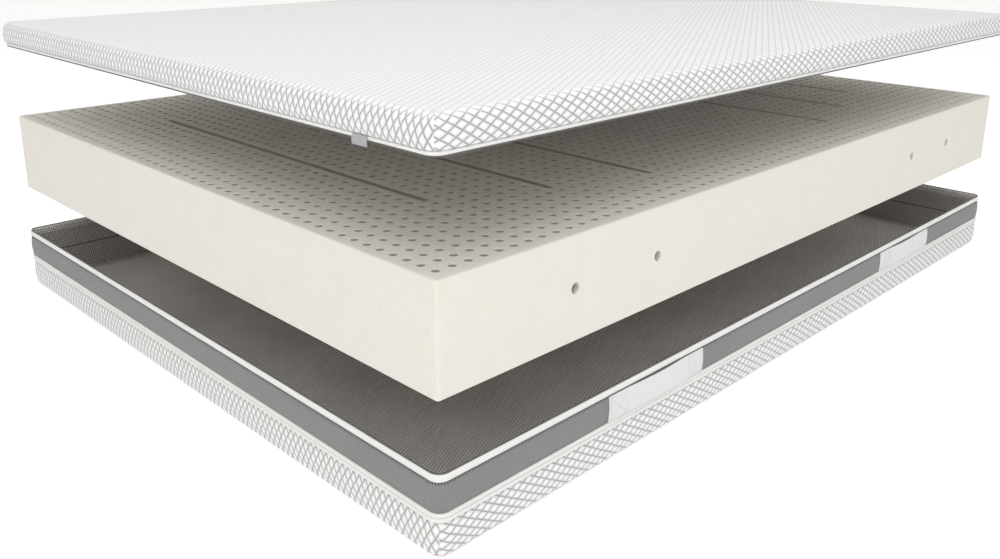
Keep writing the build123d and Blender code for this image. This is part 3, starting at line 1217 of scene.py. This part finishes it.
def row_round(piece, outline, out, height, pitch):
    """Repeat a piece along the outline, out from it and at a height."""
    low, high = outline.low.copy(), outline.high.copy()
    shift = Vector((out, out, 0))
    track_outline = Outline(low - shift, high + shift, outline.corner + out)
    track = rounded_loop("track", track_outline, height, 200 * MM)
    pick(track)
    bpy.ops.object.convert(target="CURVE")
    track = bpy.context.object
    count = round(track_outline.length / pitch)
    repeat(piece, count, (track_outline.length / count, 0, 0))
    bend = piece.modifiers.new("bend", "CURVE")
    bend.object = track
    bpy.ops.object.modifier_apply(modifier=bend.name)
    bpy.data.objects.remove(track)
    print(piece.name, "count", count)


print("row tools ready")

# %% [markdown]
# ### Zip teeth
#
# A nylon coil is a spring of thread pressed flat. From the side each turn looks like a
# short bar that leans a little, with a round head towards the other half of the zip. A
# cube with its head narrowed and its edges bevelled is enough at this size.

# %% Zip teeth and tapes
TOOTH_PITCH = 2.6 * MM
TOOTH_WIDTH = 2.4 * MM
TOOTH_LEAN = 0.35 * MM


def zip_tooth(name, height, up):
    """One turn of the coil, its head towards up."""
    size = (TOOTH_WIDTH, TOOTH_WIDTH, height)
    tooth = add_primitive("cube", name, (TOOTH_PITCH / 2, 0, 0), size, size=1)
    take_up(tooth, "FACE")
    choose("faces", lambda face: middle_of(face).z * up > height * 0.4)
    bpy.ops.transform.resize(value=(0.7, 0.75, 1))
    choose("verts", lambda vertex: vertex.co.z * up > 0)
    move_chosen(lambda point: Vector((TOOTH_LEAN, 0, 0)))
    bpy.ops.mesh.select_all(action="SELECT")
    bpy.ops.mesh.bevel(offset=0.3 * MM, segments=1, affect="EDGES")
    put_down()
    return tooth


for name, node, body, up in (
    ("lid_zip_teeth", "zip_coil_upper", "cover_top", -1),
    ("base_zip_teeth", "zip_coil_lower", "cover_base", 1),
):
    coil_low, coil_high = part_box(node)
    coil_height = coil_high.z - coil_low.z
    teeth = zip_tooth(name, coil_height, up)
    row_round(teeth, FACE, -2.0 * MM, (coil_low.z + coil_high.z) / 2, TOOTH_PITCH)
    tidy_faces(teeth)
    dress(teeth, NYLON, body, 50)
    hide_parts(node)

# %% [markdown]
# ### Stitches
#
# Thread shows as a row of short beads. A bead is a small cube drawn out and bevelled. One
# row holds the binding, one pale row runs under the wall's seam, and one holds the tape.

# %% Stitch rows
STITCH_GAP = 5.0 * MM


def bead(name, length, thickness):
    """One visible stitch, lying along X."""
    size = (length, thickness, thickness)
    stitch = add_primitive("cube", name, (length / 2, 0, 0), size, size=1)
    take_up(stitch)
    choose("verts", lambda vertex: True)
    bpy.ops.mesh.bevel(offset=thickness * 0.3, segments=1, affect="EDGES")
    choose("faces", lambda face: abs(face.normal.x) > 0.9)
    bpy.ops.transform.resize(value=(1, 0.6, 0.6))
    put_down()
    return stitch


def on_the_wall(point, middle):
    return point.x + point.y, point.z


def on_the_floor(point, middle):
    return point.x, point.y


binding_row = (wall_outline, -0.95 * MM, binding_low.z + 1.2 * MM, STITCH_GAP)
seam_row = (wall_outline, -0.9 * MM, SEAM_HEIGHT - 6 * MM, 2 * STITCH_GAP)
tape_row = (tape_outline, -18 * MM, tape_high.z, STITCH_GAP)
# The binding and tape stitches use the darkest copy of the lining, the seam's deep painted shade.
for name, length, thickness, row, place, finish in (
    ("binding_stitches", 3.6 * MM, 0.9 * MM, binding_row, on_the_wall, SEAM_LINING_PAINTED_SHADE),
    ("seam_stitches", 4.0 * MM, 0.7 * MM, seam_row, on_the_wall, THREAD),
    ("tape_stitches", 3.2 * MM, 0.5 * MM, tape_row, on_the_floor, SEAM_LINING_PAINTED_SHADE),
):
    stitches = bead(name, length, thickness)
    row_round(stitches, *row)
    tidy_faces(stitches)
    lay_flat(stitches, place)
    dress(stitches, finish, "cover_base")

# %% [markdown]
# ## Strap handles
#
# Four straps lie on the mesh, two on each long side. Each end is sewn down over 50 mm with
# a box and a cross of stitches, and the middle is loose enough for a hand. When it is
# pulled the middle comes away and the ends stay, so a strap is made as two halves, each
# from its sewn end to the middle.

# %% Strap halves
STRAP_THICK = 2.4 * MM
STRAP_SAG = 1.6 * MM
STRAP_BOW = 1.5 * MM
STRAP_RIPPLE = 0.25 * MM
STRAP_GAP = 0.2 * MM


def barrel(height):
    """How far the mesh border swells at a height."""
    share = (height - mesh_low.z) / (mesh_high.z - mesh_low.z)
    return MESH_BULGE * math.sin(math.pi * max(0.0, min(1.0, share)))


def strap_half(number, end):
    """Half of a strap, from its sewn end to its middle."""
    grip_low, grip_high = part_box(f"handle_{number}_grip")
    patch_low, patch_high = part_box(f"handle_{number}_patch_{end}")
    side = 1 if grip_low.x > 0 else -1
    face = FACE.high.x if side > 0 else FACE.low.x
    centre = (grip_low.y + grip_high.y) / 2
    first = patch_low.y if end == "a" else centre
    last = centre if end == "a" else patch_high.y
    sewn = patch_high.y if end == "a" else patch_low.y
    place = (face + side * STRAP_THICK / 2, (first + last) / 2, (grip_low.z + grip_high.z) / 2)
    size = (STRAP_THICK, last - first, grip_high.z - grip_low.z)
    half = add_primitive("cube", f"handle_{number}_{end}", place, size, size=1)
    take_up(half)
    for axis, cuts in ((1, 18), (2, 9)):
        for k in range(1, cuts):
            cut = Vector(place)
            cut[axis] += size[axis] * (k / cuts - 0.5)
            slice_through(cut, (0, axis == 1, axis == 2))
    bpy.ops.mesh.select_mode(type="EDGE")
    choose(
        "edges",
        lambda edge: edge.calc_face_angle(0) > 1 and abs(middle_of(edge).y - centre) > MM,
    )
    bpy.ops.mesh.bevel(offset=0.7 * MM, segments=2, affect="EDGES")
    for vertex in opened().verts:
        free = max(0.0, 1 - abs(vertex.co.y - centre) / abs(sewn - centre))
        lift = STRAP_BOW * math.sin(math.pi / 2 * min(1.0, free * 1.3))
        drop = STRAP_SAG * free * free * (3 - 2 * free)
        ripple = STRAP_RIPPLE * noise.noise(vertex.co * 40)
        vertex.co.x += side * (barrel(vertex.co.z) + STRAP_GAP + lift + ripple)
        vertex.co.z -= drop * (vertex.co.z - mesh_low.z) / (mesh_high.z - mesh_low.z)
    bmesh.update_edit_mesh(half.data)
    put_down()
    lay_flat(half, lambda point, middle: (point.y, point.z))
    dress(half, STRAP, None, 50)
    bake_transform(half)
    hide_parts(f"handle_{number}_patch_{end}")
    if end == "a":
        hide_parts(f"handle_{number}_grip")


print("strap thickness", STRAP_THICK)

# %% [markdown]
# ### Box and cross
#
# Each sewn end is held by a box of stitches with a cross in it. Every bead is turned to lie
# along its line and set on the strap's face, then all the beads of one end are joined.

# %% Strap stitches
THREAD_LENGTH = 2.4 * MM
THREAD_PITCH = 3.6 * MM


def strap_stitches(number, end):
    """A box and a cross of stitches on one sewn end."""
    low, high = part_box(f"handle_{number}_patch_{end}")
    side = 1 if low.x > 0 else -1
    face = FACE.high.x if side > 0 else FACE.low.x
    margin = 4 * MM
    y0, y1 = low.y + margin, high.y - margin * 0.4
    z0, z1 = low.z + margin, high.z - margin
    lines = [
        ((y0, z0), (y1, z0)),
        ((y1, z0), (y1, z1)),
        ((y1, z1), (y0, z1)),
        ((y0, z1), (y0, z0)),
        ((y0, z0), (y1, z1)),
        ((y0, z1), (y1, z0)),
    ]
    beads = []
    for (ya, za), (yb, zb) in lines:
        run = Vector((0, yb - ya, zb - za))
        count = round(run.length / THREAD_PITCH)
        tilt = Matrix.Rotation(math.atan2(run.z, run.y), 4, "X")
        lie = tilt @ Matrix.Rotation(math.pi / 2, 4, "Z")
        for k in range(count):
            centre = Vector((0, ya, za)) + run * ((k + 0.5) / count)
            centre.x = face + side * (barrel(centre.z) + STRAP_THICK + 0.15 * MM)
            stitch = bead("stitch", THREAD_LENGTH, 0.6 * MM)
            centred = Matrix.Translation((-THREAD_LENGTH / 2, 0, 0))
            stitch.matrix_world = Matrix.Translation(centre) @ lie @ centred
            beads.append(stitch)
    pick(beads[0])
    for stitch in beads:
        stitch.select_set(True)
    bpy.ops.object.transform_apply(location=True, rotation=True, scale=True)
    bpy.ops.object.join()
    joined = bpy.context.object
    joined.name = f"handle_{number}_{end}_stitches"
    joined.data.name = joined.name
    lay_flat(joined, lambda point, middle: (point.y, point.z))
    dress(joined, THREAD, "cover_base")


for number in range(1, 5):
    for end in "ab":
        strap_half(number, end)
        strap_stitches(number, end)

# %% [markdown]
# ## Side label
#
# A short loop of satin tape is sewn in above the band and hangs past it. The strip is
# folded at the bottom, so it is made as one body two layers thick with a rounded fold.

# %% Label
label_low, label_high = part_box("side_label")
label = add_primitive(
    "cube",
    "label_loop",
    (label_low + label_high) / 2 + Vector((0, 0.2 * MM, 0)),
    (label_high.x - label_low.x, 1.1 * MM, label_high.z - label_low.z),
    size=1,
)
take_up(label)
for k in range(1, 9):
    cut = label_low.lerp(label_high, k / 9)
    slice_through(cut, (0, 0, 1))
    slice_through(cut, (1, 0, 0))
bpy.ops.mesh.select_mode(type="EDGE")
choose("edges", lambda edge: edge.calc_face_angle(0) > 1)
bpy.ops.mesh.bevel(offset=0.4 * MM, segments=2, affect="EDGES")
for vertex in opened().verts:
    hang = (label_high.z - vertex.co.z) / (label_high.z - label_low.z)
    belly = math.sin(math.pi * min(1.0, hang))
    vertex.co.y -= MM * (1.2 * belly + 1.3 * hang + 0.4 * hang * noise.noise(vertex.co * 60))
bmesh.update_edit_mesh(label.data)
put_down()
lay_flat(label, lambda point, middle: (point.x, point.z))
dress(label, LABEL, "cover_top", 50)
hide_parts("side_label")

# %% [markdown]
# ## The foam core
#
# The core comes from a mould with some three thousand pins. One pin's tile is modelled:
# a square of skin with a round hole, a chamfered rim and a deep blind shaft. Two arrays
# repeat it over the block. Where a cross slot runs, its row of tiles is taken out and the
# slot is let in. The block's sides and edges are then drawn down from the top, and the
# side bores are let into the walls.

# %% One pin's tile
core_low, core_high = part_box("core_block")
PIN_PITCH = 30 * MM
PIN_RADIUS = 6.3 * MM
PIN_DEPTH = 150 * MM
PIN_RIM = 0.8 * MM
PIN_COLUMNS = 49
PIN_ROWS = 66
PIN_SIDES = 10
first_pin = Vector(
    (-(PIN_COLUMNS - 1) / 2 * PIN_PITCH, -(PIN_ROWS - 1) / 2 * PIN_PITCH, core_high.z)
)


def sink(rim, depth):
    """Let the selected loop in: a chamfered rim, then straight down to a flat end."""
    for shift, scale in rim:
        bpy.ops.mesh.extrude_region_move(TRANSFORM_OT_translate={"value": shift})
        bpy.ops.transform.resize(value=scale)
    bpy.ops.mesh.extrude_region_move(TRANSFORM_OT_translate={"value": depth})
    bpy.ops.mesh.edge_face_add()


core = add_primitive("plane", "foam_core", first_pin, (PIN_PITCH, PIN_PITCH, 1), size=1)
take_up(core)
bpy.ops.mesh.select_all(action="SELECT")
bpy.ops.mesh.delete(type="ONLY_FACE")
bpy.ops.mesh.primitive_circle_add(
    vertices=PIN_SIDES, radius=PIN_RADIUS + PIN_RIM, location=first_pin
)
bpy.ops.mesh.select_all(action="SELECT")
bpy.ops.mesh.fill()
choose("verts", lambda vertex: (vertex.co - first_pin).length < PIN_RADIUS + 2 * PIN_RIM)
bpy.ops.mesh.select_mode(type="EDGE")
choose(
    "edges",
    lambda edge: is_open(edge) and (middle_of(edge) - first_pin).length < PIN_RADIUS + PIN_RIM,
)
shrink = PIN_RADIUS / (PIN_RADIUS + PIN_RIM)
sink([((0, 0, -PIN_RIM), (shrink, shrink, 1))], (0, 0, PIN_RIM - PIN_DEPTH))
put_down()
print("tile faces", len(core.data.polygons))

# %% [markdown]
# ### All the pins
#
# One array makes a row of tiles across the block, and a second repeats the row along it.
# Neighbouring tiles share their edges, so the arrays merge them as they go.

# %% All the pins
repeat(core, PIN_COLUMNS, (PIN_PITCH, 0, 0), merge=True)
repeat(core, PIN_ROWS, (0, PIN_PITCH, 0), merge=True)
print("pins", PIN_COLUMNS * PIN_ROWS, "faces", len(core.data.polygons))

# %% [markdown]
# ### Cross slots
#
# Three pairs of slots lie either side of the middle, shorter towards the ends. The tiles of
# a row are deleted, a long rounded rectangle is laid in the gap, the space round it is
# filled, and its rim is let in twice: once for the soft lip and once for the slot.

# %% Cross slots
SLOTS = ((345 * MM, 1230 * MM), (555 * MM, 1110 * MM), (765 * MM, 930 * MM))
SLOT_WIDTH = 12 * MM
SLOT_DEPTH = 45 * MM
SLOT_RIM = 3.4 * MM


def slot_row(part, place, length):
    """Whether a part of the mesh lies in the row of tiles that a slot takes."""
    middle = middle_of(part)
    return abs(middle.y - place) < PIN_PITCH / 2 + HAIR and abs(middle.x) < length / 2 + HAIR


take_up(core, "FACE")
for distance, length in SLOTS:
    for place in (distance, -distance):
        choose("faces", lambda face: slot_row(face, place, length))
        bpy.ops.mesh.delete(type="FACE")
        bpy.ops.mesh.select_mode(type="VERT")
        bpy.ops.mesh.select_all(action="DESELECT")
        centre = Vector((0, place, core_high.z))
        bpy.ops.mesh.primitive_plane_add(size=1, location=centre)
        wide = SLOT_WIDTH + 2 * SLOT_RIM
        bpy.ops.transform.resize(value=(length - 2 * SLOT_RIM, wide, 1), center_override=centre)
        bpy.ops.mesh.bevel(offset=wide / 2 - HAIR, segments=6, affect="VERTICES")
        bpy.ops.mesh.delete(type="ONLY_FACE")
        bpy.ops.mesh.select_mode(type="EDGE")
        choose("edges", lambda edge: is_open(edge) and slot_row(edge, place, length))
        bpy.ops.mesh.fill()
        choose(
            "edges",
            lambda edge: is_open(edge)
            and slot_row(edge, place, length)
            and abs(middle_of(edge).y - place) < wide / 2 + HAIR
            and abs(middle_of(edge).x) < length / 2 - HAIR,
        )
        half_way = SLOT_WIDTH + 0.6 * SLOT_RIM
        first = (1 - 1.4 * SLOT_RIM / length, half_way / wide, 1)
        second = (1 - 0.6 * SLOT_RIM / length, SLOT_WIDTH / half_way, 1)
        lip = [((0, 0, -0.3 * SLOT_RIM), first), ((0, 0, -0.7 * SLOT_RIM), second)]
        sink(lip, (0, 0, SLOT_RIM - SLOT_DEPTH))
        bpy.ops.mesh.select_mode(type="FACE")
put_down()
print("slots", 2 * len(SLOTS))

# %% [markdown]
# ### Sides and underside
#
# The tiles stop short of the block's edge. Their open rim is extruded and snapped out to
# the edge, the four corners are rounded, and the loop is carried down the sides and closed
# underneath.

# %% Sides and base of the block
CORE_CORNER = 6 * MM
CORE_EDGE = 3.0 * MM
core_outline = Outline(core_low, core_high, CORE_CORNER)
flat_x = core_high.x - CORE_EDGE
flat_y = core_high.y - CORE_EDGE
last_pin_x = (PIN_COLUMNS / 2) * PIN_PITCH
last_pin_y = (PIN_ROWS / 2) * PIN_PITCH


def at_corner(point):
    """Whether a point lies past the last tile both across and along."""
    return abs(point.x) > last_pin_x and abs(point.y) > last_pin_y


def to_the_edge(point):
    """The way from the last tile to the edge of the flat top."""
    across, along = abs(point.x) > last_pin_x - HAIR, abs(point.y) > last_pin_y - HAIR
    return Vector(
        (
            math.copysign(flat_x, point.x) - point.x if across else 0,
            math.copysign(flat_y, point.y) - point.y if along else 0,
            0,
        )
    )


take_up(core, "EDGE")
choose("edges", lambda edge: is_open(edge) and middle_of(edge).z > core_high.z - HAIR)
bpy.ops.mesh.extrude_region_move()
move_chosen(to_the_edge)
choose("edges", lambda edge: at_corner(middle_of(edge)) and len(edge.link_faces) == 2)
bpy.ops.mesh.dissolve_edges(use_verts=False)
bpy.ops.mesh.select_mode(type="VERT")
choose("verts", lambda vertex: at_corner(vertex.co))
bpy.ops.mesh.bevel(offset=CORE_CORNER - CORE_EDGE, segments=5, affect="VERTICES")
bpy.ops.mesh.select_mode(type="EDGE")
choose("edges", is_open)
bpy.ops.mesh.select_mode(type="VERT")
roll = quarter_round(CORE_EDGE, 4)
down = [(out, core_high.z - drop) for out, drop in roll]
up = [(out, core_low.z + drop) for out, drop in reversed(roll)]
end = (-CORE_EDGE, core_low.z)
carry_on(core_outline, [*down, *up, end], (-CORE_EDGE, core_high.z))
bpy.ops.mesh.edge_face_add()
still_open = sum(is_open(edge) for edge in opened().edges)
put_down()
print("open edges left on the block:", still_open)

# %% [markdown]
# ### Side bores
#
# Four blind bores go into each long side. Each is cut on its own: the wall's face there is
# deleted, a circle is laid in it, the face is filled again round the circle, and the circle
# is let in like a pin.

# %% Side bores
BORES = (-720 * MM, -510 * MM, 510 * MM, 720 * MM)
BORE_RADIUS = 9 * MM
BORE_RIM = 1.2 * MM
BORE_DEPTH = 60 * MM
BORE_SIDES = 20
bore_height = (core_low.z + core_high.z) / 2
for side, wall in ((1, core_high.x), (-1, core_low.x)):
    small = BORE_RADIUS / (BORE_RADIUS + BORE_RIM)
    for place in BORES:
        mouth = Vector((wall, place, bore_height))
        take_up(core, "FACE")
        choose(
            "faces",
            lambda face: abs(middle_of(face).x - wall) < HAIR
            and abs(middle_of(face).y - place) < PIN_PITCH
            and face.calc_area() > PIN_PITCH * PIN_PITCH,
        )
        bpy.ops.mesh.delete(type="FACE")
        bpy.ops.mesh.select_mode(type="EDGE")
        bpy.ops.mesh.select_all(action="DESELECT")
        bpy.ops.mesh.primitive_circle_add(
            vertices=BORE_SIDES,
            radius=BORE_RADIUS + BORE_RIM,
            location=mouth,
            rotation=(0, math.pi / 2, 0),
        )
        choose("edges", is_open)
        bpy.ops.mesh.fill()
        choose(
            "edges",
            lambda edge: is_open(edge) and (middle_of(edge) - mouth).length < BORE_RADIUS * 1.5,
        )
        sink(
            [((-side * BORE_RIM, 0, 0), (1, small, small))],
            (side * (BORE_RIM - BORE_DEPTH), 0, 0),
        )
put_down()
tidy_faces(core)
dress(core, FOAM, "core", 42)
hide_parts("core_block")

# %% [markdown]
# ## Zip slider
#
# The slider and its pull are hard metal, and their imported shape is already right. They
# only need their finish.

# %% Slider and pull
for node in ("zip_slider", "zip_pull"):
    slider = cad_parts[node]
    slider.data.materials.clear()
    slider.data.materials.append(METAL)

# %% [markdown]
# ## Ground
#
# A plain white floor that glows faintly, like a lit table, so that it stays white in the
# shadow of the tray and nothing competes with the white cloth.


# %% Floor
def pale_floor():
    """Matt white that glows a little."""
    finish = Finish("floor", roughness=0.9, emission_strength=0.27)
    finish.surface.inputs["Base Color"].default_value = (0.93, 0.93, 0.93, 1.0)
    finish.surface.inputs["Emission Color"].default_value = (1.0, 1.0, 1.0, 1.0)
    return finish.material


floor = add_primitive("plane", "floor", (0, 0, cad_box[0].z - 0.5 * MM), size=60)
floor.data.materials.append(pale_floor())
print("made", floor.name)
